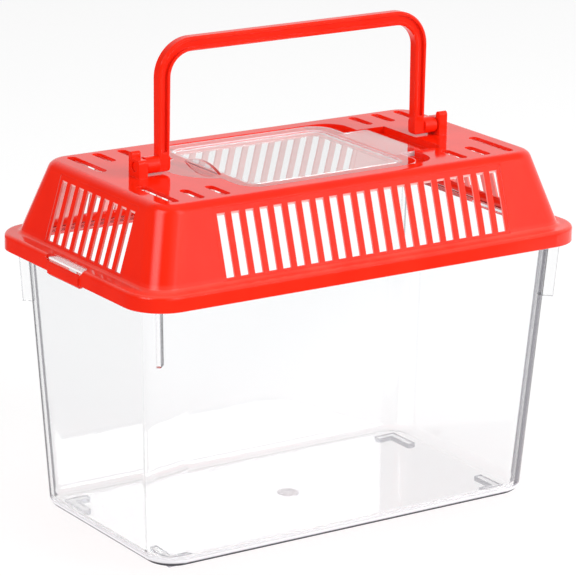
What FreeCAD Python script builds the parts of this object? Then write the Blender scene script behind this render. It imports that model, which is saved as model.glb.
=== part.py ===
import FreeCAD, Part
import math
import os

from FreeCAD import Vector

# Portable fish tank: a clear moulded tank, a slotted red lid that lifts off,
# a clear hatch window hinged in the lid's deck, and a red carry handle.
# Millimetres, +Z up. The origin is under the middle of the tank, on the surface it stands on.
# +X runs along the tank and -Y is the front.

# Tank: underside outline, height from underside to lip, and lean of the walls
TANK_LENGTH = 159.0
TANK_WIDTH = 85.0
TANK_CORNER = 11.2
TANK_HEIGHT = 100.5
TANK_SPLAY = 5.9
TANK_WALL = 2.0
TANK_FLOOR = 2.2
TANK_EDGE_RADIUS = 4.0
LIP_THICKNESS = 2.0
LIP_END_REACH = 5.3
LIP_SIDE_REACH = 3.3
LIP_CORNER = 12.2

# Tank: corner fins under the lip, corner feet and the round gate mark under the floor
FIN_REACH = 3.8
FIN_THICKNESS = 1.5
FIN_HEIGHT = 23.1
FOOT_HEIGHT = 1.8
FOOT_WIDTH = 3.0
FOOT_ARM_ALONG = 9.0
FOOT_ARM_ACROSS = 14.0
FOOT_INSET = 7.5
GATE_DIAMETER = 8.0
GATE_DEPTH = 0.5

# Lid: band round the lip, flat ledge, hipped sides and deck
LID_WALL = 1.3
LID_CLEARANCE = 0.5
BAND_HEIGHT = 5.7
BAND_EDGE_RADIUS = 1.4
LEDGE_END_WIDTH = 5.6
LEDGE_SIDE_WIDTH = 4.4
HIP_HEIGHT = 26.8
HIP_END_RUN = 7.8
HIP_SIDE_RUN = 8.7
HIP_CORNER = 10.0
DECK_EDGE_RADIUS = 4.0
HIP_FOOT_RADIUS = 1.6

# Lid: slotted grilles in the four hips, each thinned from outside and inside
GRILLE_PITCH = 5.7
GRILLE_SIDE_MARGIN = 20.1
GRILLE_END_MARGIN = 15.9
GRILLE_SIDE_SHIFT = 0.7
GRILLE_END_SHIFT = 1.2
GRILLE_RECESS = 0.25
GRILLE_RELIEF = 0.25
GRILLE_BORDER = 1.6
SLOT_WIDTH = 3.3
SLOT_SILL_RISE = 1.5
SLOT_HEAD_DROP = 4.0
SLOT_HEAD_BEVEL = 2.6

# Lid: vents in the corners of the deck
VENT_WIDTH = 3.6
VENT_PITCH = 10.2
VENT_END_MARGIN = 8.9
VENT_SIDE_MARGIN = 4.7
VENT_LONG = 24.0
VENT_SHORT = 13.0
SHORT_VENTS = 2

# Lid: snap near the middle of each end, with its slanting window, bead and pull tab
SNAP_SHIFT = 1.2
SNAP_WINDOW_LENGTH = 25.0
SNAP_WINDOW_WIDTH = 3.4
SNAP_WINDOW_INSET = 0.5
SNAP_WINDOW_DEPTH = 4.6
SNAP_WINDOW_ANGLE = 45.0
SNAP_BEAD_LENGTH = 20.0
SNAP_BEAD_HEIGHT = 1.4
SNAP_BEAD_CLEARANCE = 0.2
PULL_TAB_LENGTH = 21.0
PULL_TAB_TOP = 2.6
PULL_TAB_PROUD = 0.6
PULL_TAB_DROP = 1.1
PULL_TAB_CHAMFER = 0.6

# Hatch window: main plate, finger tab at its left end and hinge tongue at its right end
HATCH_LEFT = -39.5
HATCH_LENGTH = 74.0
HATCH_WIDTH = 65.0
HATCH_CORNER = 8.0
HATCH_PLATE = 1.8
HATCH_SINK = 0.2
HATCH_CLEARANCE = 0.5
HATCH_TAB_WIDTH = 32.0
HATCH_TAB_REACH = 11.0
TONGUE_LENGTH = 10.7
TONGUE_WIDTH = 35.0
TONGUE_RELIEF = 0.5
SEAT_WIDTH = 4.5
PANE_RELIEF = 0.4
RIB_WIDTH = 1.2
RIB_DROP = 1.2
RIB_CLEARANCE = 0.5
PANE_STEP = 0.4
PANE_STEP_INSET = 4.8
FINGER_LIFT_INSET = 1.4
FINGER_LIFT_WIDTH = 22.5
FINGER_LIFT_HEIGHT = 2.6
FINGER_LIFT_THICKNESS = 1.4
HINGE_PIN_DIAMETER = 1.3
HINGE_PIN_LENGTH = 1.2
HINGE_CLEARANCE = 0.08

# Lid: troughs left in the recess at the hinge end, beside the plate and past the tongue
PLATE_TROUGH = 5.5
TONGUE_TROUGH = 6.8

# Carry handle: a bail of channelled section on two pivot pins
HANDLE_SPAN = 108.2
HANDLE_RISE = 43.6
HANDLE_WIDTH = 5.0
HANDLE_FOOT_WIDTH = 4.5
HANDLE_DEPTH = 4.0
HANDLE_BEND = 13.5
HANDLE_EDGE_CHAMFER = 0.5
GROOVE_WIDTH = 2.4
GROOVE_DEPTH = 1.0
GROOVE_FOOT_GAP = 4.2
KNUCKLE_DIAMETER = 6.0
KNUCKLE_REACH = 5.0
TOE_ROUND = 1.8
PIVOT_RISE = 3.6
PIVOT_PIN_DIAMETER = 3.2
PIVOT_PIN_CLEARANCE = 0.08

# Lid: ears that carry the handle's pins, each with an upright finger
EAR_GAP = 0.5
EAR_THICKNESS = 3.4
EAR_WIDTH = 7.2
EAR_HEIGHT = 6.2
EAR_ROUND = 1.2
EAR_FINGER_WIDTH = 2.4
EAR_FINGER_HEIGHT = 8.6

# Margin by which a cutting tool passes through a face
CUT = 1.0

# Share of the half width or half thickness that a fully rounded end takes
ROUND_SHARE = 0.98

# Heights that follow from the sizes above
FLOOR_Z = FOOT_HEIGHT
LIP_TOP_Z = FLOOR_Z + TANK_HEIGHT
LEDGE_Z = LIP_TOP_Z + LID_WALL
BAND_FOOT_Z = LEDGE_Z - BAND_HEIGHT
DECK_Z = LEDGE_Z + HIP_HEIGHT
SEAT_Z = DECK_Z - HATCH_SINK - HATCH_PLATE
PIVOT_Z = DECK_Z + PIVOT_RISE

# Outlines that follow from the sizes above
LIP_LENGTH = TANK_LENGTH + 2 * (TANK_SPLAY + LIP_END_REACH)
LIP_WIDTH = TANK_WIDTH + 2 * (TANK_SPLAY + LIP_SIDE_REACH)
SKIRT_OFFSET = LID_CLEARANCE + LID_WALL
LID_LENGTH = LIP_LENGTH + 2 * SKIRT_OFFSET
LID_WIDTH = LIP_WIDTH + 2 * SKIRT_OFFSET
LID_CORNER = LIP_CORNER + SKIRT_OFFSET
HIP_LENGTH = LID_LENGTH - 2 * LEDGE_END_WIDTH
HIP_WIDTH = LID_WIDTH - 2 * LEDGE_SIDE_WIDTH
DECK_LENGTH = HIP_LENGTH - 2 * HIP_END_RUN
DECK_WIDTH = HIP_WIDTH - 2 * HIP_SIDE_RUN
HATCH_RIGHT = HATCH_LEFT + HATCH_LENGTH
HINGE_X = HATCH_RIGHT + TONGUE_LENGTH - HATCH_PLATE / 2
HINGE_Z = SEAT_Z + HINGE_PIN_DIAMETER / 2
LEG_X = HANDLE_SPAN / 2
KNUCKLE_X = LEG_X + HANDLE_FOOT_WIDTH / 2 + KNUCKLE_REACH
EAR_X = KNUCKLE_X + EAR_GAP

X_AXIS = Vector(1, 0, 0)
Y_AXIS = Vector(0, 1, 0)
Z_AXIS = Vector(0, 0, 1)
ORIGIN = Vector(0, 0, 0)


def fuse(shapes):
    """Join shapes into one clean solid."""
    first, *rest = shapes
    return first.multiFuse(rest).removeSplitter() if rest else first


def turned(shape, degrees):
    """Copy of a shape turned about the vertical axis through the origin."""
    copy = shape.copy()
    copy.rotate(ORIGIN, Z_AXIS, degrees)
    return copy


def rounded_outline(length, width, corner, z, centre_x=0.0):
    """Closed wire of a rectangle with round corners, level at height z."""
    edges = []
    half_x, half_y = length / 2 - corner, width / 2 - corner
    corners = [(half_x, half_y, 0), (-half_x, half_y, 90), (-half_x, -half_y, 180), (half_x, -half_y, 270)]
    previous_end = None
    first_start = None
    for x, y, start_angle in corners:
        centre = Vector(centre_x + x, y, z)
        start, middle, end = [
            centre + Vector(corner * math.cos(math.radians(a)), corner * math.sin(math.radians(a)), 0)
            for a in (start_angle, start_angle + 45, start_angle + 90)]
        if previous_end is None:
            first_start = start
        else:
            edges.append(Part.makeLine(previous_end, start))
        edges.append(Part.Arc(start, middle, end).toShape())
        previous_end = end
    edges.append(Part.makeLine(previous_end, first_start))
    return Part.Wire(edges)


def rounded_prism(length, width, corner, z_low, z_high, centre_x=0.0):
    """Upright prism on a rectangle with round corners."""
    face = Part.Face(rounded_outline(length, width, corner, z_low, centre_x))
    return face.extrude(Vector(0, 0, z_high - z_low))


def polygon_prism(points, direction):
    """Prism on a closed polygon of points."""
    return Part.Face(Part.makePolygon(points + points[:1])).extrude(direction)


def leaning_block(low, high, corner):
    """Block with flat leaning walls and round corners, between two levels given as (length, width, z)."""
    length, width, z_low = low
    top_length, top_width, z_high = high
    block = Part.makeWedge(-length / 2, z_low, -width / 2, -top_width / 2, -top_length / 2,
                           length / 2, z_high, width / 2, top_width / 2, top_length / 2)
    block.rotate(ORIGIN, X_AXIS, 90)
    upright = [edge for edge in block.Edges if edge.BoundBox.ZLength > CUT]
    return block.makeFillet(corner, upright)


def edges_at(shape, z):
    """Edges of a shape that lie level at height z."""
    tolerance = 1e-4
    return [edge for edge in shape.Edges
            if abs(edge.BoundBox.ZMin - z) < tolerance and abs(edge.BoundBox.ZMax - z) < tolerance]


# Tank

def tank_section(z, inset):
    """Length and width of the tank's wall at height z, inset from its outer face, with that height."""
    spread = 2 * (TANK_SPLAY * (z - FLOOR_Z) / TANK_HEIGHT - inset)
    return TANK_LENGTH + spread, TANK_WIDTH + spread, z


def tank_shell():
    """Open tapered tub with a flat lip round its mouth."""
    outside = leaning_block(tank_section(FLOOR_Z, 0), tank_section(LIP_TOP_Z, 0), TANK_CORNER)
    outside = outside.makeFillet(TANK_EDGE_RADIUS, edges_at(outside, FLOOR_Z))
    lip = rounded_prism(LIP_LENGTH, LIP_WIDTH, LIP_CORNER, LIP_TOP_Z - LIP_THICKNESS, LIP_TOP_Z)
    floor_top = FLOOR_Z + TANK_FLOOR
    inside = leaning_block(tank_section(floor_top, TANK_WALL), tank_section(LIP_TOP_Z + CUT, TANK_WALL),
                           TANK_CORNER - TANK_WALL)
    inside = inside.makeFillet(TANK_EDGE_RADIUS - TANK_WALL / 2, edges_at(inside, floor_top))
    return outside.fuse(lip).cut(inside)


def tank_fin(side_x, side_y):
    """Thin upright fin on one corner of the tank, square to the corner and under the lip."""
    top = LIP_TOP_Z - LIP_THICKNESS / 2
    foot = LIP_TOP_Z - LIP_THICKNESS - FIN_HEIGHT
    diagonal = Vector(side_x, side_y, 0) / math.sqrt(2)
    across = Vector(-diagonal.y, diagonal.x, 0)

    def on_corner(z, outward):
        length, width, _ = tank_section(z, 0)
        centre = Vector(side_x * (length / 2 - TANK_CORNER), side_y * (width / 2 - TANK_CORNER), z)
        return centre + diagonal * (TANK_CORNER + outward) - across * (FIN_THICKNESS / 2)

    points = [on_corner(foot, -TANK_WALL / 2), on_corner(foot, FIN_REACH),
              on_corner(top, FIN_REACH), on_corner(top, -TANK_WALL / 2)]
    return polygon_prism(points, across * FIN_THICKNESS)


def tank_foot(side_x, side_y):
    """L-shaped foot under one corner of the floor."""
    x = side_x * (TANK_LENGTH / 2 - FOOT_INSET)
    y = side_y * (TANK_WIDTH / 2 - FOOT_INSET)
    plan = [(0, 0), (FOOT_ARM_ALONG, 0), (FOOT_ARM_ALONG, FOOT_WIDTH), (FOOT_WIDTH, FOOT_WIDTH),
            (FOOT_WIDTH, FOOT_ARM_ACROSS), (0, FOOT_ARM_ACROSS)]
    points = [Vector(x - side_x * u, y - side_y * v, 0) for u, v in plan]
    return polygon_prism(points, Vector(0, 0, FOOT_HEIGHT + TANK_FLOOR / 2))


def make_tank():
    """Clear tank with its fins, feet and gate mark."""
    corners = [(x, y) for x in (-1, 1) for y in (-1, 1)]
    fins = [tank_fin(x, y) for x, y in corners]
    feet = [tank_foot(x, y) for x, y in corners]
    gate = Part.makeCylinder(GATE_DIAMETER / 2, GATE_DEPTH + CUT, Vector(0, 0, FLOOR_Z - CUT))
    return fuse([tank_shell()] + fins + feet).cut(gate)


# Lid

def lid_hip_section(z, inset):
    """Length and width of the hips at height z, inset from their outer face, with that height."""
    share = (z - LEDGE_Z) / HIP_HEIGHT
    length = HIP_LENGTH - 2 * (HIP_END_RUN * share + inset)
    width = HIP_WIDTH - 2 * (HIP_SIDE_RUN * share + inset)
    return length, width, z


def lid_outside():
    """Outer form of the lid: round-edged band, ledge and hips with a soft deck edge."""
    band = rounded_prism(LID_LENGTH, LID_WIDTH, LID_CORNER, BAND_FOOT_Z, LEDGE_Z)
    band = band.makeFillet(BAND_EDGE_RADIUS, edges_at(band, LEDGE_Z))
    hips = leaning_block(lid_hip_section(LEDGE_Z - LID_WALL / 2, 0), lid_hip_section(DECK_Z, 0), HIP_CORNER)
    hips = hips.makeFillet(DECK_EDGE_RADIUS, edges_at(hips, DECK_Z))
    form = band.fuse(hips).removeSplitter()
    reach_x, reach_y = HIP_LENGTH / 2 + CUT, HIP_WIDTH / 2 + CUT
    foot = [edge for edge in edges_at(form, LEDGE_Z)
            if abs(edge.CenterOfMass.x) < reach_x and abs(edge.CenterOfMass.y) < reach_y]
    return form.makeFillet(HIP_FOOT_RADIUS, foot)


def lid_inside():
    """Space inside the lid: round the tank's lip, then up under the deck."""
    skirt = rounded_prism(LIP_LENGTH + 2 * LID_CLEARANCE, LIP_WIDTH + 2 * LID_CLEARANCE,
                          LIP_CORNER + LID_CLEARANCE, BAND_FOOT_Z - CUT, LIP_TOP_Z)
    ceiling = DECK_Z - LID_WALL
    hollow = leaning_block(lid_hip_section(LIP_TOP_Z - CUT, LID_WALL), lid_hip_section(ceiling, LID_WALL),
                           HIP_CORNER - LID_WALL)
    hollow = hollow.makeFillet(DECK_EDGE_RADIUS - LID_WALL, edges_at(hollow, ceiling))
    return skirt.fuse(hollow)


def hip_face(half_foot, run):
    """Distance of a hip's outer face from the middle of the lid, as a function of height."""
    return lambda z: half_foot - run * (z - LEDGE_Z) / HIP_HEIGHT


def grille_cutters(half_foot, run, deck_reach, margin, shift, turns):
    """Cutters of the grilles on two opposite hips: a shallow field on each face and a row of slots.

    The row is laid out on the hip that faces -Y and then turned about the vertical axis.
    """
    face = hip_face(half_foot, run)
    sill = LEDGE_Z + SLOT_SILL_RISE
    head = DECK_Z - SLOT_HEAD_DROP
    spaces = int((deck_reach - 2 * margin) / GRILLE_PITCH)
    first = shift - spaces * GRILLE_PITCH / 2

    bevel_slope = SLOT_HEAD_BEVEL / LID_WALL
    inner_run = LID_WALL + CUT
    slot_profile = [(face(sill) + CUT, sill), (face(head) + CUT, head + bevel_slope * CUT),
                    (face(head) - inner_run, head - bevel_slope * inner_run), (face(sill) - inner_run, sill)]
    cutters = []
    for index in range(spaces + 1):
        left = first + index * GRILLE_PITCH - SLOT_WIDTH / 2
        points = [Vector(left, -y, z) for y, z in slot_profile]
        cutters.append(polygon_prism(points, Vector(SLOT_WIDTH, 0, 0)))

    low = sill - GRILLE_BORDER / 2
    half_field = shift - first + SLOT_WIDTH / 2 + GRILLE_BORDER
    fields = [(-CUT, GRILLE_RECESS, head + GRILLE_BORDER),
              (LID_WALL - GRILLE_RELIEF, inner_run, head - SLOT_HEAD_BEVEL / 2)]
    for outer, inner, high in fields:
        field_profile = [(face(low) - outer, low), (face(high) - outer, high),
                         (face(high) - inner, high), (face(low) - inner, low)]
        points = [Vector(shift - half_field, -y, z) for y, z in field_profile]
        cutters.append(polygon_prism(points, Vector(2 * half_field, 0, 0)))
    return [turned(cutter, turn) for turn in turns for cutter in cutters]


def vent_cutters():
    """Round-ended vents along Y: one long and two short ones in each corner of the deck."""
    cutters = []
    outer_y = DECK_WIDTH / 2 - VENT_SIDE_MARGIN
    for index in range(SHORT_VENTS + 1):
        length = VENT_SHORT if index else VENT_LONG
        x = DECK_LENGTH / 2 - VENT_END_MARGIN - index * VENT_PITCH
        vent = rounded_prism(VENT_WIDTH, length, VENT_WIDTH / 2 * ROUND_SHARE,
                             DECK_Z - LID_WALL - CUT, DECK_Z + CUT)
        for side_x in (-1, 1):
            for side_y in (-1, 1):
                cutters.append(vent.translated(Vector(side_x * x, side_y * (outer_y - length / 2), 0)))
    return cutters


def hatch_plan(grow, z_low, z_high, tongue_low, plate_trough=0.0, tongue_trough=0.0):
    """Prism on the hatch's plan, grown all round: main plate, finger tab and hinge tongue.

    A trough lengthens the plate or the tongue at the hinge end.
    """
    length = HATCH_LENGTH + plate_trough
    centre_x = HATCH_LEFT + length / 2
    plate = rounded_prism(length + 2 * grow, HATCH_WIDTH + 2 * grow, HATCH_CORNER + grow,
                          z_low, z_high, centre_x)
    tab_radius = ((HATCH_TAB_WIDTH / 2) ** 2 + HATCH_TAB_REACH ** 2) / (2 * HATCH_TAB_REACH)
    tab_x = HATCH_LEFT - HATCH_TAB_REACH + tab_radius
    tab = Part.makeCylinder(tab_radius + grow, z_high - z_low, Vector(tab_x, 0, z_low))
    root_x = HATCH_RIGHT - SEAT_WIDTH / 2
    tongue_end = HATCH_RIGHT + TONGUE_LENGTH + tongue_trough + grow
    tongue_width = TONGUE_WIDTH + 2 * grow
    tongue = Part.makeBox(tongue_end - root_x, tongue_width, z_high - tongue_low,
                          Vector(root_x, -tongue_width / 2, tongue_low))
    return fuse([plate, tab, tongue])


def aperture(inset, z_low, z_high):
    """Prism on the opening under the hatch, inset all round."""
    margin = 2 * (SEAT_WIDTH + inset)
    corner = max(HATCH_CORNER - SEAT_WIDTH - inset, RIB_WIDTH / 2)
    centre_x = (HATCH_LEFT + HATCH_RIGHT) / 2
    return rounded_prism(HATCH_LENGTH - margin, HATCH_WIDTH - margin, corner, z_low, z_high, centre_x)


def hatch_tray():
    """Sunk tray in the deck that seats the hatch, before its recess is cut."""
    tray_low = SEAT_Z - LID_WALL
    return hatch_plan(HATCH_CLEARANCE + LID_WALL, tray_low, DECK_Z - LID_WALL / 2, tray_low - TONGUE_RELIEF,
                      PLATE_TROUGH, TONGUE_TROUGH)


def hatch_cutters():
    """Recess, opening and hinge holes of the hatch."""
    recess = hatch_plan(HATCH_CLEARANCE, SEAT_Z, DECK_Z + CUT, SEAT_Z - TONGUE_RELIEF,
                        PLATE_TROUGH, TONGUE_TROUGH)
    opening = aperture(0, SEAT_Z - LID_WALL - CUT, SEAT_Z + CUT)
    hole_reach = TONGUE_WIDTH / 2 + HINGE_PIN_LENGTH + HINGE_CLEARANCE
    hole = Part.makeCylinder(HINGE_PIN_DIAMETER / 2 + HINGE_CLEARANCE, 2 * hole_reach,
                             Vector(HINGE_X, -hole_reach, HINGE_Z), Y_AXIS)
    return [recess, opening, hole]


def lid_ear():
    """Ear at the right end of the deck: a plate across the pivot pin with a finger at the front."""
    half = EAR_WIDTH / 2
    low = DECK_Z - LID_WALL / 2
    shoulder = DECK_Z + EAR_HEIGHT
    finger_round = EAR_FINGER_WIDTH / 2
    finger_spring = DECK_Z + EAR_FINGER_HEIGHT - finger_round

    def at(y, z):
        return Vector(EAR_X, y, z)

    finger_y = -half + finger_round
    round_y = half - EAR_ROUND
    round_z = shoulder - EAR_ROUND
    diagonal = EAR_ROUND * math.sqrt(0.5)
    edges = [
        Part.makeLine(at(-half, low), at(-half, finger_spring)),
        Part.Arc(at(-half, finger_spring), at(finger_y, finger_spring + finger_round),
                 at(finger_y + finger_round, finger_spring)).toShape(),
        Part.makeLine(at(finger_y + finger_round, finger_spring), at(finger_y + finger_round, shoulder)),
        Part.makeLine(at(finger_y + finger_round, shoulder), at(round_y, shoulder)),
        Part.Arc(at(round_y, shoulder), at(round_y + diagonal, round_z + diagonal),
                 at(half, round_z)).toShape(),
        Part.makeLine(at(half, round_z), at(half, low)),
        Part.makeLine(at(half, low), at(-half, low)),
    ]
    ear = Part.Face(Part.Wire(edges)).extrude(Vector(EAR_THICKNESS, 0, 0))
    bore = Part.makeCylinder(PIVOT_PIN_DIAMETER / 2 + PIVOT_PIN_CLEARANCE, EAR_THICKNESS + 2 * CUT,
                             Vector(EAR_X - CUT, 0, PIVOT_Z), X_AXIS)
    return ear.cut(bore)


def snap_additions():
    """Pull tab and snap bead at the right end of the lid."""
    outer = LID_LENGTH / 2
    inner = outer - LID_WALL
    proud = outer + PULL_TAB_PROUD
    tab_foot = BAND_FOOT_Z - PULL_TAB_DROP
    tab_top = LEDGE_Z - PULL_TAB_TOP
    profile = [(inner, tab_top), (outer, tab_top), (proud, tab_top - PULL_TAB_PROUD),
               (proud, tab_foot + PULL_TAB_CHAMFER), (proud - PULL_TAB_CHAMFER, tab_foot), (inner, tab_foot)]
    tab = polygon_prism([Vector(x, -SNAP_SHIFT - PULL_TAB_LENGTH / 2, z) for x, z in profile],
                        Vector(0, PULL_TAB_LENGTH, 0))

    bead_top = LIP_TOP_Z - LIP_THICKNESS - SNAP_BEAD_CLEARANCE
    bead_tip = LIP_LENGTH / 2 + SNAP_BEAD_CLEARANCE
    bead_foot = bead_top - SNAP_BEAD_HEIGHT
    bead_root = inner + LID_WALL / 2
    bead_profile = [(bead_root, bead_top), (bead_tip, bead_top), (inner, bead_foot), (bead_root, bead_foot)]
    bead = polygon_prism([Vector(x, -SNAP_SHIFT - SNAP_BEAD_LENGTH / 2, z) for x, z in bead_profile],
                         Vector(0, SNAP_BEAD_LENGTH, 0))
    return [tab, bead]


def snap_window():
    """Cutter of the round-ended window over the snap bead, slanting in through the band's upper edge."""
    flat = rounded_prism(SNAP_WINDOW_WIDTH, SNAP_WINDOW_LENGTH, SNAP_WINDOW_WIDTH / 2 * ROUND_SHARE,
                         -SNAP_WINDOW_DEPTH, SNAP_WINDOW_DEPTH)
    flat.rotate(ORIGIN, Y_AXIS, SNAP_WINDOW_ANGLE)
    return flat.translated(Vector(LID_LENGTH / 2 - SNAP_WINDOW_INSET, -SNAP_SHIFT, LEDGE_Z))


def make_lid():
    """Red lid with its grilles, vents, hatch tray, ears and end snaps."""
    shell = lid_outside().cut(lid_inside())
    ear = lid_ear()
    additions = [hatch_tray()]
    for turn in (0, 180):
        additions += [turned(piece, turn) for piece in [ear] + snap_additions()]
    cutters = hatch_cutters() + vent_cutters()
    cutters += grille_cutters(HIP_WIDTH / 2, HIP_SIDE_RUN, DECK_LENGTH, GRILLE_SIDE_MARGIN,
                              GRILLE_SIDE_SHIFT, (0, 180))
    cutters += grille_cutters(HIP_LENGTH / 2, HIP_END_RUN, DECK_WIDTH, GRILLE_END_MARGIN,
                              GRILLE_END_SHIFT, (90, 270))
    cutters += [turned(snap_window(), turn) for turn in (0, 180)]
    return fuse([shell] + additions).cut(cutters).removeSplitter()


# Hatch window

def finger_lift():
    """Arched upstand at the left edge of the hatch, to lift it by."""
    half = FINGER_LIFT_WIDTH / 2
    top = SEAT_Z + HATCH_PLATE
    x = HATCH_LEFT + FINGER_LIFT_INSET
    low = top - HATCH_PLATE / 2
    crown = Vector(x, 0, top + FINGER_LIFT_HEIGHT)
    edges = [
        Part.Arc(Vector(x, -half, top), crown, Vector(x, half, top)).toShape(),
        Part.makeLine(Vector(x, half, top), Vector(x, half, low)),
        Part.makeLine(Vector(x, half, low), Vector(x, -half, low)),
        Part.makeLine(Vector(x, -half, low), Vector(x, -half, top)),
    ]
    return Part.Face(Part.Wire(edges)).extrude(Vector(FINGER_LIFT_THICKNESS, 0, 0))


def make_hatch_window():
    """Clear hatch: plate with a locating rib under it, finger lift and hinge pins."""
    top = SEAT_Z + HATCH_PLATE
    plate = hatch_plan(0, SEAT_Z, top, SEAT_Z)
    end_edges = [edge for edge in plate.Edges
                 if abs(edge.CenterOfMass.x - HATCH_RIGHT - TONGUE_LENGTH) < CUT / 10
                 and abs(edge.CenterOfMass.y) < CUT / 10]
    plate = plate.makeFillet(HATCH_PLATE / 2 * ROUND_SHARE, end_edges)
    rib = aperture(RIB_CLEARANCE, SEAT_Z - RIB_DROP, SEAT_Z + PANE_RELIEF)
    pane = aperture(RIB_CLEARANCE + RIB_WIDTH, SEAT_Z - RIB_DROP - CUT, SEAT_Z + PANE_RELIEF)
    pin_reach = TONGUE_WIDTH / 2 + HINGE_PIN_LENGTH
    pin = Part.makeCylinder(HINGE_PIN_DIAMETER / 2, 2 * pin_reach,
                            Vector(HINGE_X, -pin_reach, HINGE_Z), Y_AXIS)
    centre_x = (HATCH_LEFT + HATCH_RIGHT) / 2
    step = rounded_prism(HATCH_LENGTH - 2 * PANE_STEP_INSET, HATCH_WIDTH - 2 * PANE_STEP_INSET,
                         HATCH_CORNER - PANE_STEP_INSET / 2, top - PANE_STEP, top + CUT, centre_x)
    return fuse([plate.cut(step), rib, pin, finger_lift()]).cut(pane)


# Carry handle

def bail_face(width, foot_width, foot_z, y):
    """Face of a U-shaped bail of a given width about the handle's centre line, in the plane at y."""
    centre_bend = HANDLE_BEND - HANDLE_WIDTH / 2
    top_z = PIVOT_Z + HANDLE_RISE - HANDLE_WIDTH / 2
    bend_x = LEG_X - centre_bend
    bend_z = top_z - centre_bend

    def leg(side, offset):
        """Corner points of one edge of the bail: foot, start of bend, middle of bend, end of bend."""
        radius = centre_bend + offset * width / 2
        diagonal = radius * math.sqrt(0.5)
        foot_x = LEG_X + offset * foot_width / 2
        return (Vector(side * foot_x, y, foot_z),
                Vector(side * (bend_x + radius), y, bend_z),
                Vector(side * (bend_x + diagonal), y, bend_z + diagonal),
                Vector(side * bend_x, y, bend_z + radius))

    edges = []
    for offset in (1, -1):
        left, right = leg(-1, offset), leg(1, offset)
        edges += [Part.makeLine(left[0], left[1]), Part.Arc(*left[1:]).toShape(),
                  Part.makeLine(left[3], right[3]),
                  Part.Arc(right[3], right[2], right[1]).toShape(), Part.makeLine(right[1], right[0])]
    for side in (-1, 1):
        edges.append(Part.makeLine(leg(side, 1)[0], leg(side, -1)[0]))
    return Part.Face(Part.Wire(Part.__sortEdges__(edges)))


def handle_foot():
    """Right foot of the handle: round toe below the leg, knuckle beside it and pin that turns in the ear."""
    inner_x, outer_x = LEG_X - HANDLE_FOOT_WIDTH / 2, LEG_X + HANDLE_FOOT_WIDTH / 2
    knuckle_radius = KNUCKLE_DIAMETER / 2
    block = Part.makeBox(HANDLE_FOOT_WIDTH, HANDLE_DEPTH, KNUCKLE_DIAMETER,
                         Vector(inner_x, -HANDLE_DEPTH / 2, PIVOT_Z - knuckle_radius))
    toe_edge = [edge for edge in edges_at(block, PIVOT_Z - knuckle_radius)
                if edge.BoundBox.XMax < LEG_X]
    block = block.makeFillet(TOE_ROUND, toe_edge)

    def rod(diameter, start_x, end_x):
        return Part.makeCylinder(diameter / 2, end_x - start_x, Vector(start_x, 0, PIVOT_Z), X_AXIS)

    toe = block.common(rod(KNUCKLE_DIAMETER, inner_x, outer_x))
    knuckle = rod(KNUCKLE_DIAMETER, outer_x, KNUCKLE_X)
    pin = rod(PIVOT_PIN_DIAMETER, LEG_X, EAR_X + EAR_THICKNESS - EAR_GAP)
    return [toe, knuckle, pin]


def make_carry_handle():
    """Red bail with a groove along each face, on feet that turn in the ears."""
    depth = Vector(0, HANDLE_DEPTH, 0)
    bail = bail_face(HANDLE_WIDTH, HANDLE_FOOT_WIDTH, PIVOT_Z, -HANDLE_DEPTH / 2).extrude(depth)
    long_edges = [edge for edge in bail.Edges if abs(edge.BoundBox.YMax - edge.BoundBox.YMin) < CUT / 10
                  and edge.BoundBox.ZMax > PIVOT_Z + CUT]
    bail = bail.makeChamfer(HANDLE_EDGE_CHAMFER, long_edges)
    feet = []
    for turn in (0, 180):
        feet += [turned(piece, turn) for piece in handle_foot()]
    groove_foot = PIVOT_Z + GROOVE_FOOT_GAP
    cutters = []
    for face_y in (-HANDLE_DEPTH / 2 - CUT, HANDLE_DEPTH / 2 - GROOVE_DEPTH):
        groove = bail_face(GROOVE_WIDTH, GROOVE_WIDTH, groove_foot, face_y)
        cutters.append(groove.extrude(Vector(0, GROOVE_DEPTH + CUT, 0)))
    return fuse([bail] + feet).cut(cutters)


PIECES = {
    "tank": make_tank,
    "lid": make_lid,
    "hatch_window": make_hatch_window,
    "carry_handle": make_carry_handle,
}

os.makedirs("parts", exist_ok=True)
for name, make in PIECES.items():
    solid = make()
    box = solid.BoundBox
    print(f"{name}: solids {len(solid.Solids)}, valid {solid.isValid()}, volume {solid.Volume:.0f}, "
          f"x {box.XMin:.2f} to {box.XMax:.2f}, y {box.YMin:.2f} to {box.YMax:.2f}, "
          f"z {box.ZMin:.2f} to {box.ZMax:.2f}")
    solid.exportStep(f"parts/{name}.step")
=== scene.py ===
"""Looks of a portable fish tank: clear tank and hatch, glossy red lid and carry handle, on a white sweep."""

import logging
import math
from dataclasses import dataclass
from enum import Enum

import bpy
from mathutils import Matrix, Vector


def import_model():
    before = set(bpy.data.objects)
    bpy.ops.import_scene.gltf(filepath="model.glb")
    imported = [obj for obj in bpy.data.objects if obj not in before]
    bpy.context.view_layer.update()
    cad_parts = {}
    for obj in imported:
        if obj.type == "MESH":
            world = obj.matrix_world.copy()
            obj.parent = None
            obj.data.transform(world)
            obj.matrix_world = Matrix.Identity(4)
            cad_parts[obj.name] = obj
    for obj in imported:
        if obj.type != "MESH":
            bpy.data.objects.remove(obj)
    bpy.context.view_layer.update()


LOG = logging.getLogger("fish_tank")
MILLIMETRE = 0.001
SLACK = 0.1 * MILLIMETRE

# Share of the studio's white that gloss mirrors, and that clear walls bend to, in its dark parts
MIRRORED_DARK = 0.12
FIELD_DARK = 0.25

RIGHT = Vector((1.0, 0.0, 0.0))
FORWARD = Vector((0.0, 1.0, 0.0))
UP = Vector((0.0, 0.0, 1.0))

Colour = tuple[float, float, float]
Point = tuple[float, float, float]
Span = tuple[float, float]
Socket = bpy.types.NodeSocket


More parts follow.
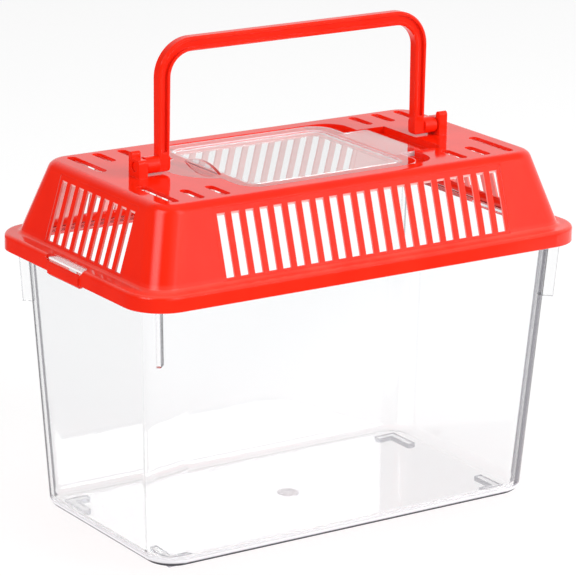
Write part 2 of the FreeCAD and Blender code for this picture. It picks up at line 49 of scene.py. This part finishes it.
class Moulding(Enum):
    """The four mouldings of the object, by the name of their node."""

    TANK = "tank"
    LID = "lid"
    HATCH = "hatch_window"
    HANDLE = "carry_handle"


class Ray(Enum):
    """Kinds of ray that a Light Path node tells apart, by the name of its output."""

    CAMERA = "Is Camera Ray"
    DIFFUSE = "Is Diffuse Ray"
    GLOSSY = "Is Glossy Ray"
    SHADOW = "Is Shadow Ray"
    TRANSMISSION = "Is Transmission Ray"


class Wire:
    """One value in a node tree, which takes part in Python expressions."""

    def __init__(self, bench: "Bench", socket: Socket) -> None:
        """Keep the socket and the bench whose tree it belongs to."""
        self.bench = bench
        self.socket = socket

    def _math(self, operation: str, first: "Operand", second: "Operand") -> "Wire":
        """Add a Math node for one operation on two operands."""
        return self.bench.value("ShaderNodeMath", {"operation": operation}, {0: first, 1: second})

    def __add__(self, other: "Operand") -> "Wire":
        """Sum of two values."""
        return self._math("ADD", self, other)

    def __radd__(self, other: "Operand") -> "Wire":
        """Sum with a number on the left."""
        return self._math("ADD", other, self)

    def __sub__(self, other: "Operand") -> "Wire":
        """Difference of two values."""
        return self._math("SUBTRACT", self, other)

    def __rsub__(self, other: "Operand") -> "Wire":
        """Difference with a number on the left."""
        return self._math("SUBTRACT", other, self)

    def __mul__(self, other: "Operand") -> "Wire":
        """Product of two values."""
        return self._math("MULTIPLY", self, other)

    def __rmul__(self, other: "Operand") -> "Wire":
        """Product with a number on the left."""
        return self._math("MULTIPLY", other, self)

    def __or__(self, other: "Operand") -> "Wire":
        """Larger of two values, which joins two masks."""
        return self._math("MAXIMUM", self, other)

    def __neg__(self) -> "Wire":
        """Value with its sign changed."""
        return 0 - self

    def __abs__(self) -> "Wire":
        """Size of the value, whatever its sign."""
        return self | -self

    def lifted(self, low: float) -> "Wire":
        """Value that goes from a low value to 1 as this one goes from 0 to 1."""
        return low + (1.0 - low) * self

    def rise(self, low: float, high: float) -> "Wire":
        """Smooth step of the value.

        Args:
            low: value at which the step leaves 0.
            high: value at which the step reaches 1.

        Returns:
            The step, from 0 to 1.
        """
        settings = {"interpolation_type": "SMOOTHSTEP"}
        inputs = {"Value": self, "From Min": low, "From Max": high}
        return self.bench.value("ShaderNodeMapRange", settings, inputs)

    def within(self, low: float, high: float, fade: float) -> "Wire":
        """Mask of a band of the value.

        Args:
            low: value at which the mask leaves 0.
            high: value at which the mask leaves 1 again.
            fade: width of the step at each end.

        Returns:
            The mask, from 0 to 1.
        """
        return self.rise(low, low + fade) * (1 - self.rise(high, high + fade))


Operand = Wire | float


class Bench:
    """Node tree of one material or world, with one way to add a node to it."""

    def __init__(self, tree: bpy.types.NodeTree) -> None:
        """Take over a node tree and empty it."""
        self.tree = tree
        self.tree.nodes.clear()

    def node(self, kind: str, settings: dict[str, object] | None = None,
             inputs: dict[str | int, object] | None = None) -> bpy.types.Node:
        """Add one node.

        Args:
            kind: type of the node.
            settings: properties of the node, which are set first.
            inputs: values or links of its input sockets, by name or place.

        Returns:
            The new node.
        """
        made = self.tree.nodes.new(kind)
        for name, setting in (settings or {}).items():
            setattr(made, name, setting)
        for name, value in (inputs or {}).items():
            if isinstance(value, Wire):
                self.tree.links.new(value.socket, made.inputs[name])
            elif isinstance(value, Socket):
                self.tree.links.new(value, made.inputs[name])
            else:
                made.inputs[name].default_value = value
        return made

    def value(self, kind: str, settings: dict[str, object] | None = None,
              inputs: dict[str | int, object] | None = None, output: str | int = 0) -> Wire:
        """Add one node and wrap one of its outputs.

        Args:
            kind: type of the node.
            settings: properties of the node.
            inputs: values or links of its input sockets.
            output: name or place of the output.

        Returns:
            The wrapped output.
        """
        return Wire(self, self.node(kind, settings, inputs).outputs[output])

    def place(self) -> Socket:
        """Place on the moulding, in metres from its origin."""
        return self.node("ShaderNodeTexCoord").outputs["Object"]

    def normal(self) -> Socket:
        """Direction that the surface faces, in the moulding's own frame."""
        return self.node("ShaderNodeTexCoord").outputs["Normal"]

    def tilt(self) -> Wire:
        """Share of the surface's facing that is upward."""
        return self.along(self.normal(), UP)

    def softened(self, radius: float, samples: int) -> Socket:
        """Direction that the surface would face with its edges rounded."""
        return self.node("ShaderNodeBevel", {"samples": samples}, {"Radius": radius}).outputs[0]

    def match(self, soft: Socket) -> Wire:
        """How far a softened direction still agrees with the true one, 1 where it does."""
        return self.along(soft, self.node("ShaderNodeNewGeometry").outputs["Normal"])

    def noise(self, place: Socket, scale: float, detail: float) -> Wire:
        """Noise over a place, from 0 to 1 with a mean of a half."""
        return self.value("ShaderNodeTexNoise", None, {"Vector": place, "Scale": scale, "Detail": detail})

    def stretched(self, place: Socket, factors: Point) -> Socket:
        """Place scaled by one factor along each axis."""
        return self.node("ShaderNodeVectorMath", {"operation": "MULTIPLY"}, {0: place, 1: factors}).outputs[0]

    def along(self, place: Socket, direction: Vector | Socket) -> Wire:
        """Reach of a place along a direction."""
        settings = {"operation": "DOT_PRODUCT"}
        return self.value("ShaderNodeVectorMath", settings, {0: place, 1: direction}, "Value")

    def mixed(self, factor: Operand, first: object, second: object) -> Socket:
        """Colour between two colours or colour sockets."""
        settings = {"data_type": "RGBA"}
        return self.node("ShaderNodeMix", settings, {0: factor, 6: first, 7: second}).outputs[2]

    def layered(self, factor: Wire, first: Socket, second: Socket) -> Socket:
        """Shader between two shaders."""
        return self.node("ShaderNodeMixShader", None, {0: factor, 1: first, 2: second}).outputs[0]

    def bumped(self, height: Wire, strength: float, depth: float, normal: Socket | None = None) -> Socket:
        """Direction of a surface with a fine relief.

        Args:
            height: height of the relief, from 0 to 1.
            strength: share of the relief that shows.
            depth: depth of the relief in metres.
            normal: direction of the surface without it, or none for its own.

        Returns:
            The socket of the new direction.
        """
        inputs = {"Strength": strength, "Distance": depth, "Height": height}
        if normal is not None:
            inputs["Normal"] = normal
        return self.node("ShaderNodeBump", None, inputs).outputs[0]

    def joined(self, masks: list[Wire]) -> Wire:
        """Largest of some masks.

        Args:
            masks: masks to join, at least one.

        Returns:
            The mask that is 1 where any of them is.
        """
        whole = masks[0]
        for mask in masks[1:]:
            whole = whole | mask
        return whole

    def ray(self, *kinds: Ray) -> Wire:
        """Mask that is 1 for any of some kinds of ray."""
        path = self.node("ShaderNodeLightPath")
        return self.joined([Wire(self, path.outputs[kind.value]) for kind in kinds])

    def mirror_ray(self) -> Wire:
        """Mask that is 1 for a ray mirrored by a glossy face."""
        return self.ray(Ray.GLOSSY) * (1 - self.ray(Ray.TRANSMISSION))

    def show(self, surface: Socket) -> None:
        """Make a shader the surface of the material."""
        self.node("ShaderNodeOutputMaterial", None, {"Surface": surface})


def blank_material(name: str) -> tuple[bpy.types.Material, Bench]:
    """Make a material with an empty node tree.

    Args:
        name: name of the material.

    Returns:
        The material, and the bench of its tree.
    """
    made = bpy.data.materials.new(name)
    made.use_nodes = True
    return made, Bench(made.node_tree)


def opaque(colour: Colour) -> tuple[float, float, float, float]:
    """Colour with full alpha, as a socket takes it."""
    return (*colour, 1.0)


@dataclass(frozen=True)
class RedPlastic:
    """Glossy red injection moulding with slight pigment flow, a fine skin and softened edges."""

    name: str
    colour: Colour = (0.93, 0.020, 0.0040)
    deep: Colour = (0.88, 0.016, 0.0032)
    index: float = 1.5
    gloss: float = 0.085
    flow_gloss: float = 0.03
    flow_scale: float = 55.0
    flow_detail: float = 3.0
    flow_stretch: Point = (1.0, 1.0, 0.35)
    flow_span: Span = (0.3, 0.7)
    rub_gloss: float = 0.06
    rub_detail: float = 4.0
    rub_stretch: Point = (0.12, 1.0, 1.0)
    rub_span: Span = (0.62, 0.8)
    edge: Colour = (0.95, 0.034, 0.014)
    edge_share: float = 0.5
    edge_gloss: float = 0.06
    edge_span: Span = (0.0, 0.25)
    edge_radius: float = 0.3 * MILLIMETRE
    edge_samples: int = 6
    skin_scale: float = 1400.0
    skin_detail: float = 2.0
    skin_depth: float = 0.02 * MILLIMETRE
    skin_strength: float = 0.25

    def body(self, bench: Bench, place: Socket, flow: Wire) -> Socket:
        """Colour of the moulding away from its edges."""
        return bench.mixed(flow, opaque(self.deep), opaque(self.colour))

    def material(self) -> bpy.types.Material:
        """Make the material.

        Returns:
            A material of this finish.
        """
        made, bench = blank_material(self.name)
        place = bench.place()
        soft = bench.softened(self.edge_radius, self.edge_samples)
        edge = (1 - bench.match(soft)).rise(*self.edge_span)

        streaks = bench.noise(bench.stretched(place, self.flow_stretch), self.flow_scale, self.flow_detail)
        flow = streaks.rise(*self.flow_span)
        scratches = bench.noise(bench.stretched(place, self.rub_stretch), self.skin_scale, self.rub_detail)
        rubs = scratches.rise(*self.rub_span)
        skin = bench.noise(place, self.skin_scale, self.skin_detail)

        colour = bench.mixed(edge * self.edge_share, self.body(bench, place, flow), opaque(self.edge))
        rough = self.gloss + self.flow_gloss * (flow - 0.5) + self.rub_gloss * rubs + self.edge_gloss * edge
        bump = bench.bumped(skin, self.skin_strength, self.skin_depth, soft)
        shader = bench.node("ShaderNodeBsdfPrincipled", None, {
            "Base Color": colour, "Roughness": rough, "IOR": self.index, "Normal": bump})
        bench.show(shader.outputs[0])
        return made


@dataclass(frozen=True)
class SlottedRedPlastic(RedPlastic):
    """Red moulding with pale painted light on its slot heads and slot sides, and a painted highlight along
    its ledge.
    """

    # Pale painted light on the slot heads and the slot sides
    glow: Colour = (0.98, 0.72, 0.68)
    slot_foot: float = 104.6 * MILLIMETRE
    # Share of the pale painted light on the slot sides
    painted_side_light: float = 0.30
    lit_side_tilt: Span = (0.05, 0.12)
    head_low: float = 124.8 * MILLIMETRE
    head_high: float = 127.0 * MILLIMETRE
    head_tilt: Span = (0.25, 0.6)
    head_fade: float = 0.1
    # Painted highlight along the ledge, varied with the pigment flow
    band_with_painted_light: Colour = (0.95, 0.075, 0.050)
    ledge_highlight_share: float = 0.5
    ledge_foot: float = 102.6 * MILLIMETRE
    ledge_top: float = 105.2 * MILLIMETRE
    ledge_tilt: Span = (0.2, 0.6)
    band_fade: float = 1.0 * MILLIMETRE

    def body(self, bench: Bench, place: Socket, flow: Wire) -> Socket:
        """Red body with pale painted light on the feathered slot heads and the slot sides, and a painted
        highlight on the ledge.

        Args:
            bench: bench of the material.
            place: place on the moulding.
            flow: flow of the pigment, from 0 to 1.

        Returns:
            The socket of the colour.
        """
        red = super().body(bench, place, flow)
        tilt = bench.tilt()
        height = bench.along(place, UP)
        # Painted highlight on the upward faces of the ledge
        ledge_highlight = height.within(self.ledge_foot, self.ledge_top, self.band_fade) * tilt.rise(*self.ledge_tilt)
        wear_and_painted_light = bench.mixed(ledge_highlight * flow.lifted(self.ledge_highlight_share), red, opaque(self.band_with_painted_light))

        # Pale painted light on the slot heads and, weaker, on the slot sides
        grille = height.within(self.slot_foot, self.head_high, self.band_fade)
        under = (-tilt).within(*self.head_tilt, self.head_fade)
        lit_slot_head = under * (1 - height.rise(self.head_low, self.head_high))
        side = 1 - abs(tilt).rise(*self.lit_side_tilt)
        return bench.mixed(grille * (lit_slot_head | side * self.painted_side_light), wear_and_painted_light, opaque(self.glow))


@dataclass(frozen=True)
class ClearPlastic:
    """Clear injection moulding: glass-like, faintly wavy, with a few fine rubs."""

    name: str
    tint: Colour = (0.985, 0.989, 0.994)
    shadow: Colour = (0.965, 0.968, 0.972)
    index: float = 1.54
    gloss: float = 0.004
    coat: float = 0.0
    rub_gloss: float = 0.03
    rub_scale: float = 900.0
    rub_detail: float = 4.0
    rub_stretch: Point = (0.1, 0.6, 1.0)
    rub_span: Span = (0.64, 0.8)
    # Edge colour painted along the moulded edges: a dark painted shade, which the hatch replaces with a pale
    # painted highlight
    edge: Colour = (0.22, 0.21, 0.24)
    edge_span: Span = (0.01, 0.2)
    edge_radius: float = 0.3 * MILLIMETRE
    edge_samples: int = 4
    wave_scale: float = 45.0
    wave_detail: float = 1.0
    wave_depth: float = 0.03 * MILLIMETRE
    wave_strength: float = 0.2

    def edges(self, bench: Bench) -> Wire:
        """Mask of the moulded edges, from either side of the wall."""
        match = bench.match(bench.softened(self.edge_radius, self.edge_samples))
        return (1 - abs(match)).rise(*self.edge_span)

    def colour(self, bench: Bench) -> Socket:
        """Tint of the clear body, with the edge colour painted along its moulded edges: painted shade on the
        tank, a painted highlight on the hatch.
        """
        return bench.mixed(self.edges(bench), opaque(self.tint), opaque(self.edge))

    def wear_and_painted_light(self, bench: Bench, place: Socket, clear: Socket) -> Socket:
        """Shader of the clear body with its wear and painted light, of which plain clear plastic has none."""
        return clear

    def material(self) -> bpy.types.Material:
        """Make the material.

        Returns:
            A material of this finish.
        """
        made, bench = blank_material(self.name)
        place = bench.place()
        wave = bench.noise(place, self.wave_scale, self.wave_detail)
        scratches = bench.noise(bench.stretched(place, self.rub_stretch), self.rub_scale, self.rub_detail)
        rough = self.gloss + self.rub_gloss * scratches.rise(*self.rub_span)
        bump = bench.bumped(wave, self.wave_strength, self.wave_depth)
        clear = bench.node("ShaderNodeBsdfPrincipled", None, {
            "Base Color": self.colour(bench), "Roughness": rough, "IOR": self.index,
            "Transmission Weight": 1.0, "Coat Weight": self.coat, "Normal": bump})
        body = self.wear_and_painted_light(bench, place, clear.outputs[0])
        through = bench.node("ShaderNodeBsdfTransparent", None, {"Color": opaque(self.shadow)})
        bench.show(bench.layered(bench.ray(Ray.SHADOW, Ray.DIFFUSE), body, through.outputs[0]))
        return made


@dataclass(frozen=True)
class TankPlastic(ClearPlastic):
    """Clear plastic of the tub: painted shade where its round corners turn away, scuffed where it stands,
    with a painted shade line along its bottom edge.
    """

    # Painted shade on the round corners where they turn away from the view
    painted_corner_shade: Colour = (0.06, 0.056, 0.070)
    corner_shade_facing: Span = (0.42, 0.50)
    corner_bend: Span = (0.08, 0.2)
    scuff_gloss: float = 0.7
    heel: Colour = (0.93, 0.92, 0.95)
    heel_share: float = 0.9
    heel_low: float = 4.55 * MILLIMETRE
    heel_top: float = 6.5 * MILLIMETRE
    heel_tilt: Span = (0.1, 0.3)
    sole_tilt: Span = (0.93, 0.99)
    # Painted shade line along the outer bottom edge
    painted_heel_shade: Colour = (0.075, 0.072, 0.082)
    shade_line_tilt: Span = (0.46, 0.66)
    foot: Colour = (0.90, 0.89, 0.92)
    foot_share: float = 0.35
    foot_top: float = 1.75 * MILLIMETRE
    # Painted shade on the upright sides of the frosted feet
    painted_foot_side_shade: Colour = (0.30, 0.29, 0.33)
    foot_side_share: float = 0.75
    foot_side_tilt: Span = (0.3, 0.7)
    gate: Colour = (0.80, 0.79, 0.82)
    gate_deep: Colour = (0.34, 0.33, 0.36)
    gate_share: float = 0.7
    gate_top: float = 2.4 * MILLIMETRE
    gate_radius: float = 4.1 * MILLIMETRE
    gate_blur: float = 1.05
    grain_scale: float = 900.0
    grain_detail: float = 2.0
    grain_span: Span = (0.4, 0.6)

    def colour(self, bench: Bench) -> Socket:
        """Tint with a painted shade line where a thick round corner is seen along its wall.

        Args:
            bench: bench of the material.

        Returns:
            The socket of the colour.
        """
        facing = bench.value("ShaderNodeLayerWeight", None, {"Blend": 0.5}, "Facing")
        normal = bench.normal()
        bend = bench.along(normal, RIGHT) * bench.along(normal, FORWARD)
        # Painted shade where the round corners turn away from the view
        corner_shade = abs(bend).rise(*self.corner_bend) * facing.rise(*self.corner_shade_facing)
        return bench.mixed(corner_shade, super().colour(bench), opaque(self.painted_corner_shade))

    def wear_and_painted_light(self, bench: Bench, place: Socket, clear: Socket) -> Socket:
        """Clear body with a scuffed bottom edge under a painted shade line, frosted feet with painted shade
        on their upright sides, and a rough gate mark.

        Args:
            bench: bench of the material.
            place: place on the moulding.
            clear: shader of the clear body.

        Returns:
            The socket of the shader with its wear and painted shade.
        """
        height = bench.along(place, UP)
        tilt = bench.tilt()
        down = -tilt
        outside = 1 - bench.value("ShaderNodeNewGeometry", output="Backfacing")
        upright = 1 - abs(tilt).rise(*self.foot_side_tilt)
        low = 1 - height.rise(self.heel_low, self.heel_top)
        heel = low * down.rise(*self.heel_tilt) * (1 - down.rise(*self.sole_tilt))
        foot = 1 - height.rise(self.foot_top - SLACK, self.foot_top)
        gate = self.gate_spot(bench, place, height)

        # Painted shade line on the outside of the bottom edge, over the scuffed heel
        painted_shade_line = outside * down.rise(*self.shade_line_tilt)
        band_with_painted_light = bench.mixed(painted_shade_line, opaque(self.heel), opaque(self.painted_heel_shade))
        # Frosted feet with painted shade on their upright sides
        frost_with_side_shade = bench.mixed(upright, opaque(self.foot), opaque(self.painted_foot_side_shade))
        grain = bench.noise(place, self.grain_scale, self.grain_detail).rise(*self.grain_span)
        rough = bench.mixed(grain, opaque(self.gate_deep), opaque(self.gate))
        colour = bench.mixed(gate, bench.mixed(foot, band_with_painted_light, frost_with_side_shade), rough)
        scuff_and_painted_shade = bench.node("ShaderNodeBsdfPrincipled", None, {
            "Base Color": colour, "Roughness": self.scuff_gloss, "Specular IOR Level": 0.0})
        frost = self.foot_share + (self.foot_side_share - self.foot_share) * upright
        share = heel * self.heel_share | foot * frost | gate * self.gate_share
        return bench.layered(share, clear, scuff_and_painted_shade.outputs[0])

    def gate_spot(self, bench: Bench, place: Socket, height: Wire) -> Wire:
        """Mask of the round gate mark under the middle of the floor.

        Args:
            bench: bench of the material.
            place: place on the moulding.
            height: height of that place.

        Returns:
            The mask, from 0 to 1.
        """
        across = bench.along(place, RIGHT)
        along = bench.along(place, FORWARD)
        inner = self.gate_radius ** 2
        disc = 1 - (across * across + along * along).rise(inner, self.gate_blur * inner)
        return disc * (1 - height.rise(self.gate_top, self.gate_top + SLACK))


@dataclass(frozen=True)
class HatchPlastic(ClearPlastic):
    """Clear plastic of the hatch: a bright top face, pale painted light on its sides and a painted highlight
    along its plate's edges.
    """

    coat: float = 0.8
    # Pale painted highlight along the plate's edges
    edge: Colour = (0.86, 0.85, 0.88)
    edge_share: float = 0.7
    # Pale painted light on the plate's sides
    side: Colour = (0.95, 0.93, 0.96)
    side_light_share: float = 0.5
    lit_side_tilt: Span = (0.2, 0.5)
    seat: float = 128.4 * MILLIMETRE
    plate_top: float = 130.2 * MILLIMETRE

    def wear_and_painted_light(self, bench: Bench, place: Socket, clear: Socket) -> Socket:
        """Clear body with pale painted light on its plate's sides and a painted highlight along the plate's
        edges.

        Args:
            bench: bench of the material.
            place: place on the moulding.
            clear: shader of the clear body.

        Returns:
            The socket of the shader with its painted light.
        """
        height = bench.along(place, UP)
        plate = height.within(self.seat, self.plate_top, SLACK)
        lit_sides = plate * (1 - abs(bench.tilt()).rise(*self.lit_side_tilt))
        highlight_rims = height.rise(self.seat + SLACK, self.plate_top - SLACK) * self.edges(bench)
        # Pale diffuse shader for the painted light on the sides and the painted highlight along the edges
        painted_pale_light = bench.node("ShaderNodeBsdfDiffuse", None, {"Color": opaque(self.side)})
        return bench.layered(lit_sides * self.side_light_share | highlight_rims * self.edge_share, clear, painted_pale_light.outputs[0])


@dataclass(frozen=True)
class Piece:
    """One moulding of the object and its finish."""

    moulding: Moulding
    finish: RedPlastic | ClearPlastic

    def dress(self) -> None:
        """Put the finish on every slot of the moulding's node."""
        material = self.finish.material()
        for slot in bpy.data.objects[self.moulding.value].material_slots:
            slot.link = "OBJECT"
            slot.material = material


@dataclass(frozen=True)
class Tank(Piece):
    """Clear tapered tub with its lip, fins and feet."""

    moulding: Moulding = Moulding.TANK
    finish: TankPlastic = TankPlastic("clear_tank")


@dataclass(frozen=True)
class Lid(Piece):
    """Red slotted lid with the hatch tray, ears and end snaps."""

    moulding: Moulding = Moulding.LID
    finish: SlottedRedPlastic = SlottedRedPlastic("red_lid")


@dataclass(frozen=True)
class HatchWindow(Piece):
    """Clear hatch hinged in the lid's deck."""

    moulding: Moulding = Moulding.HATCH
    finish: HatchPlastic = HatchPlastic("clear_hatch")


@dataclass(frozen=True)
class CarryHandle(Piece):
    """Red bail that swings over the lid."""

    moulding: Moulding = Moulding.HANDLE
    finish: RedPlastic = RedPlastic("red_handle")


@dataclass(frozen=True)
class Softbox:
    """Square area lamp that looks at the object."""

    name: str
    place: Point
    side: float
    power: float

    def build(self, aim: Vector) -> None:
        """Add the lamp.

        Args:
            aim: point that the lamp looks at.
        """
        lamp = bpy.data.lights.new(self.name, "AREA")
        lamp.size = self.side
        lamp.energy = self.power
        box = bpy.data.objects.new(self.name, lamp)
        box.visible_glossy = False
        box.location = self.place
        box.rotation_mode = "QUATERNION"
        box.rotation_quaternion = (aim - Vector(self.place)).to_track_quat("-Z", "Y")
        bpy.context.collection.objects.link(box)


@dataclass(frozen=True)
class MirroredWindow:
    """Tall soft window in one level direction, which round glossy corners mirror."""

    towards: Point
    spread: float
    glow: float
    core: float = 0.2
    low_edge: Span = (0.25, 0.5)
    high_edge: Span = (0.72, 0.9)
    front: Span = (0.2, 0.4)

    def shine(self, bench: Bench, heading: Socket) -> Wire:
        """Brightness of the window in a heading.

        Args:
            bench: bench of the world.
            heading: direction from the object into the room.

        Returns:
            The brightness, from 0 to the window's glow.
        """
        towards = Vector(self.towards)
        upward = bench.along(heading, UP)
        aside = bench.along(heading, towards.cross(UP))
        narrow = 1 - abs(aside).rise(self.core * self.spread, self.spread)
        tall = upward.rise(*self.low_edge) * (1 - upward.rise(*self.high_edge))
        return narrow * tall * bench.along(heading, towards).rise(*self.front) * self.glow


@dataclass(frozen=True)
class Camera:
    """Camera at the photograph's view of the object."""

    azimuth: float = -33.83
    elevation: float = 16.39
    roll: float = 0.89
    distance: float = 1.16308
    target: Point = (-0.00086, 0.0, 0.08103)
    focal_pixels: float = 3245.0
    image_pixels: int = 576
    sensor_width: float = 36.0
    clip_start: float = 0.05
    clip_end: float = 50.0

    def back(self) -> Vector:
        """Direction of the camera from its target.

        Returns:
            The direction, of length 1.
        """
        turn = math.radians(self.azimuth)
        lift = math.radians(self.elevation)
        return Vector((math.sin(turn) * math.cos(lift), -math.cos(turn) * math.cos(lift), math.sin(lift)))

    def onward(self) -> Vector:
        """Level direction from the camera's side to the backdrop.

        Returns:
            The direction, of length 1.
        """
        ahead = -self.back()
        ahead.z = 0.0
        return ahead.normalized()

    def build(self) -> None:
        """Add the camera and make it the scene's."""
        back = self.back()
        turn = math.radians(self.azimuth)
        tilt = math.radians(self.roll)
        level = Vector((math.cos(turn), math.sin(turn), 0.0))
        upright = back.cross(level)
        right = level * math.cos(tilt) + upright * math.sin(tilt)
        up = upright * math.cos(tilt) - level * math.sin(tilt)
        data = bpy.data.cameras.new("camera")
        data.sensor_width = self.sensor_width
        data.lens = self.focal_pixels * self.sensor_width / self.image_pixels
        data.clip_start = self.clip_start
        data.clip_end = self.clip_end
        camera = bpy.data.objects.new("camera", data)
        eye = Vector(self.target) + back * self.distance
        camera.matrix_world = Matrix.Translation(eye) @ Matrix((right, up, back)).transposed().to_4x4()
        bpy.context.collection.objects.link(camera)
        bpy.context.scene.camera = camera


@dataclass(frozen=True)
class Room:
    """World of the studio: a soft fill, white ahead of the lens, and what gloss mirrors on each side."""

    fill: float = 0.6
    ahead_span: Span = (0.5, 0.9)
    ceiling_dim: float = 0.7
    ceiling_span: Span = (0.45, 0.8)
    wall_span: Span = (-0.45, 0.25)
    windows: tuple[MirroredWindow, ...] = (
        MirroredWindow((-0.97, -0.23, 0.0), 0.42, 4.0),
        MirroredWindow((0.33, -0.94, 0.0), 0.27, 1.6),
    )

    def build(self, onward: Vector) -> None:
        """Make the world and give it to the scene.

        Args:
            onward: level direction from the camera's side to the backdrop.
        """
        world = bpy.data.worlds.new("studio")
        world.use_nodes = True
        bpy.context.scene.world = world
        bench = Bench(world.node_tree)
        heading = bench.node("ShaderNodeTexCoord").outputs["Generated"]
        seen = bench.ray(Ray.CAMERA)
        through = bench.ray(Ray.TRANSMISSION)
        mirrored = bench.mirror_ray()
        field = bench.along(heading, onward).rise(*self.ahead_span).lifted(FIELD_DARK)
        ceiling = self.ceiling_dim * bench.along(heading, UP).rise(*self.ceiling_span)
        walls = bench.along(heading, RIGHT).rise(*self.wall_span) * (1 - ceiling)
        panes = bench.joined([window.shine(bench, heading) for window in self.windows])
        room = walls.lifted(MIRRORED_DARK) + panes
        lit = 1 - (seen | through | mirrored)
        strength = seen + through * field + mirrored * room + lit * self.fill
        sky = bench.node("ShaderNodeBackground", None, {"Strength": strength})
        bench.node("ShaderNodeOutputWorld", None, {"Surface": sky.outputs[0]})


@dataclass(frozen=True)
class PaperFloor:
    """Pale floor that reads as white paper, keeps the object's shadow and throws light back up."""

    side: float = 12.0
    colour: Colour = (0.40, 0.40, 0.40)
    mirrored_colour: Colour = (0.0, 0.0, 0.0)
    glow: float = 0.64
    bounce: float = 0.55
    tone_low: float = 0.985
    tone_spread: float = 0.03
    tone_scale: float = 220.0
    tone_detail: float = 2.0
    field_ahead: Span = (-0.6, -0.2)
    field_aside: Span = (0.4, 1.0)
    mirror_right: Span = (-0.2, 0.05)
    mirror_ahead: Span = (-0.14, -0.08)

    def paper(self, onward: Vector) -> bpy.types.Material:
        """Make the material.

        Args:
            onward: level direction from the camera's side to the backdrop.

        Returns:
            The floor's material.
        """
        made, bench = blank_material("paper_floor")
        place = bench.node("ShaderNodeNewGeometry").outputs["Position"]
        seen = bench.ray(Ray.CAMERA)
        through = bench.ray(Ray.TRANSMISSION)
        mirrored = bench.mirror_ray()
        ahead = bench.along(place, onward)
        aside = bench.along(place, onward.cross(UP))
        field = ahead.rise(*self.field_ahead) * (1 - abs(aside).rise(*self.field_aside))
        near = bench.along(place, RIGHT).rise(*self.mirror_right) * ahead.rise(*self.mirror_ahead)
        room = near.lifted(MIRRORED_DARK)
        tone = self.tone_low + self.tone_spread * bench.noise(place, self.tone_scale, self.tone_detail)
        shown = self.glow * tone * (seen + through * field.lifted(FIELD_DARK) + mirrored * room)
        tint = bench.mixed(mirrored * (1 - room), opaque(self.colour), opaque(self.mirrored_colour))
        matt = bench.node("ShaderNodeBsdfDiffuse", None, {"Color": tint})
        light = bench.node("ShaderNodeEmission", None, {
            "Strength": shown + self.bounce * bench.ray(Ray.DIFFUSE)})
        surface = bench.node("ShaderNodeAddShader", None, {0: matt.outputs[0], 1: light.outputs[0]})
        bench.show(surface.outputs[0])
        return made

    def lay(self, onward: Vector) -> None:
        """Add the floor under the object.

        Args:
            onward: level direction from the camera's side to the backdrop.
        """
        half = self.side / 2
        corners = [(-half, -half, 0.0), (half, -half, 0.0), (half, half, 0.0), (-half, half, 0.0)]
        mesh = bpy.data.meshes.new("floor")
        mesh.from_pydata(corners, [], [(0, 1, 2, 3)])
        mesh.materials.append(self.paper(onward))
        floor = bpy.data.objects.new("floor", mesh)
        bpy.context.collection.objects.link(floor)


@dataclass(frozen=True)
class Studio:
    """White sweep, soft lamps and camera."""

    camera: Camera = Camera()
    room: Room = Room()
    floor: PaperFloor = PaperFloor()
    lamps: tuple[Softbox, ...] = (
        Softbox("top_softbox", (0.10, 0.05, 1.55), 1.0, 4.7),
        Softbox("front_softbox", (0.95, -1.25, 0.75), 0.9, 23.0),
        Softbox("left_softbox", (-1.5, -0.35, 0.6), 0.8, 9.6),
    )

    def build(self) -> None:
        """Add the camera, the lamps, the world and the floor."""
        self.camera.build()
        for lamp in self.lamps:
            lamp.build(Vector(self.camera.target))
        onward = self.camera.onward()
        self.room.build(onward)
        self.floor.lay(onward)
        bpy.context.scene.view_settings.view_transform = "Standard"


def main() -> None:
    """Dress the four mouldings and set up the studio."""
    logging.basicConfig(level=logging.INFO)
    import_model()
    for piece in (Tank(), Lid(), HatchWindow(), CarryHandle()):
        piece.dress()
        LOG.info("dressed %s as %s", piece.moulding.value, piece.finish.name)
    Studio().build()
    LOG.info("studio ready")


if __name__ == "__main__":
    main()
